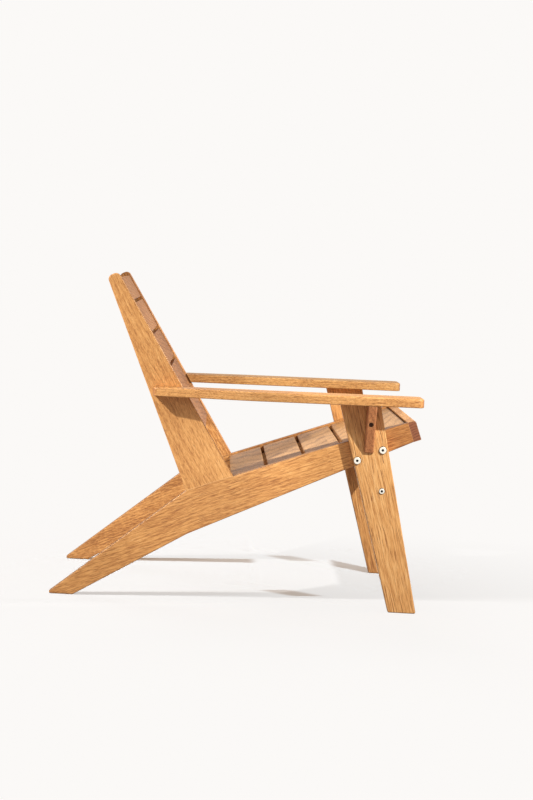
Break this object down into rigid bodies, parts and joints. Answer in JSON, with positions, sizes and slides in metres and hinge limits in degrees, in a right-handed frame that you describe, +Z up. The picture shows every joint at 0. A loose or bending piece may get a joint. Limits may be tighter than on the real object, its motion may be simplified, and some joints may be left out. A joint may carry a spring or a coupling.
{
  "type": "adirondack chair",
  "caption": "Low slatted wooden garden lounge chair with raked back, sloping seat, broad armrests and bent side rails that run down into the rear legs.",
  "frame": {"origin": "on the floor, at the bottom centre of the bounding box", "axes": "+Z up from the floor, -Y to the front of the chair, +X to the sitter's left"},
  "size_m": [0.71, 0.8868, 0.78],
  "materials": {
    "frame_wood": "oiled, satin",
    "slat_wood": "oiled, satin",
    "apron_wood": "oiled, satin",
    "bracket_wood": "oiled, satin",
    "cleat_wood": "sawn, oiled",
    "dowel_wood": "raw",
    "bright_steel": "satin stainless",
    "zinc_steel": "zinc plated"
  },
  "bodies": {
    "root": {"apron_dowels": "dowel_wood", "arm_back_dowels": "dowel_wood", "arm_leg_dowels": "dowel_wood", "back_cleat_screws": "zinc_steel", "back_slat_1": "slat_wood", "back_slat_2": "slat_wood", "back_slat_3": "slat_wood", "back_slat_4": "slat_wood", "back_slat_5": "slat_wood", "back_slat_screws": "zinc_steel", "bracket_dowels": "dowel_wood", "bracket_screws": "zinc_steel", "front_apron": "apron_wood", "front_stretcher": "slat_wood", "left_arm_bracket": "bracket_wood", "left_armrest": "frame_wood", "left_back_cleat": "cleat_wood", "left_back_upright": "frame_wood", "left_front_leg": "frame_wood", "left_seat_cleat": "cleat_wood", "left_seat_rail": "frame_wood", "leg_bolts": "bright_steel", "leg_insert_nuts": "zinc_steel", "right_arm_bracket": "bracket_wood", "right_armrest": "frame_wood", "right_back_cleat": "cleat_wood", "right_back_upright": "frame_wood", "right_front_leg": "frame_wood", "right_seat_cleat": "cleat_wood", "right_seat_rail": "frame_wood", "seat_cleat_screws": "zinc_steel", "seat_slat_1": "slat_wood", "seat_slat_2": "slat_wood", "seat_slat_3": "slat_wood", "seat_slat_4": "slat_wood", "seat_slat_5": "slat_wood", "seat_slat_screws": "zinc_steel", "stretcher_barrel_nuts": "zinc_steel", "stretcher_bolts": "bright_steel", "stretcher_dowels": "dowel_wood", "upright_dowels": "dowel_wood"}
  },
  "joints": []
}
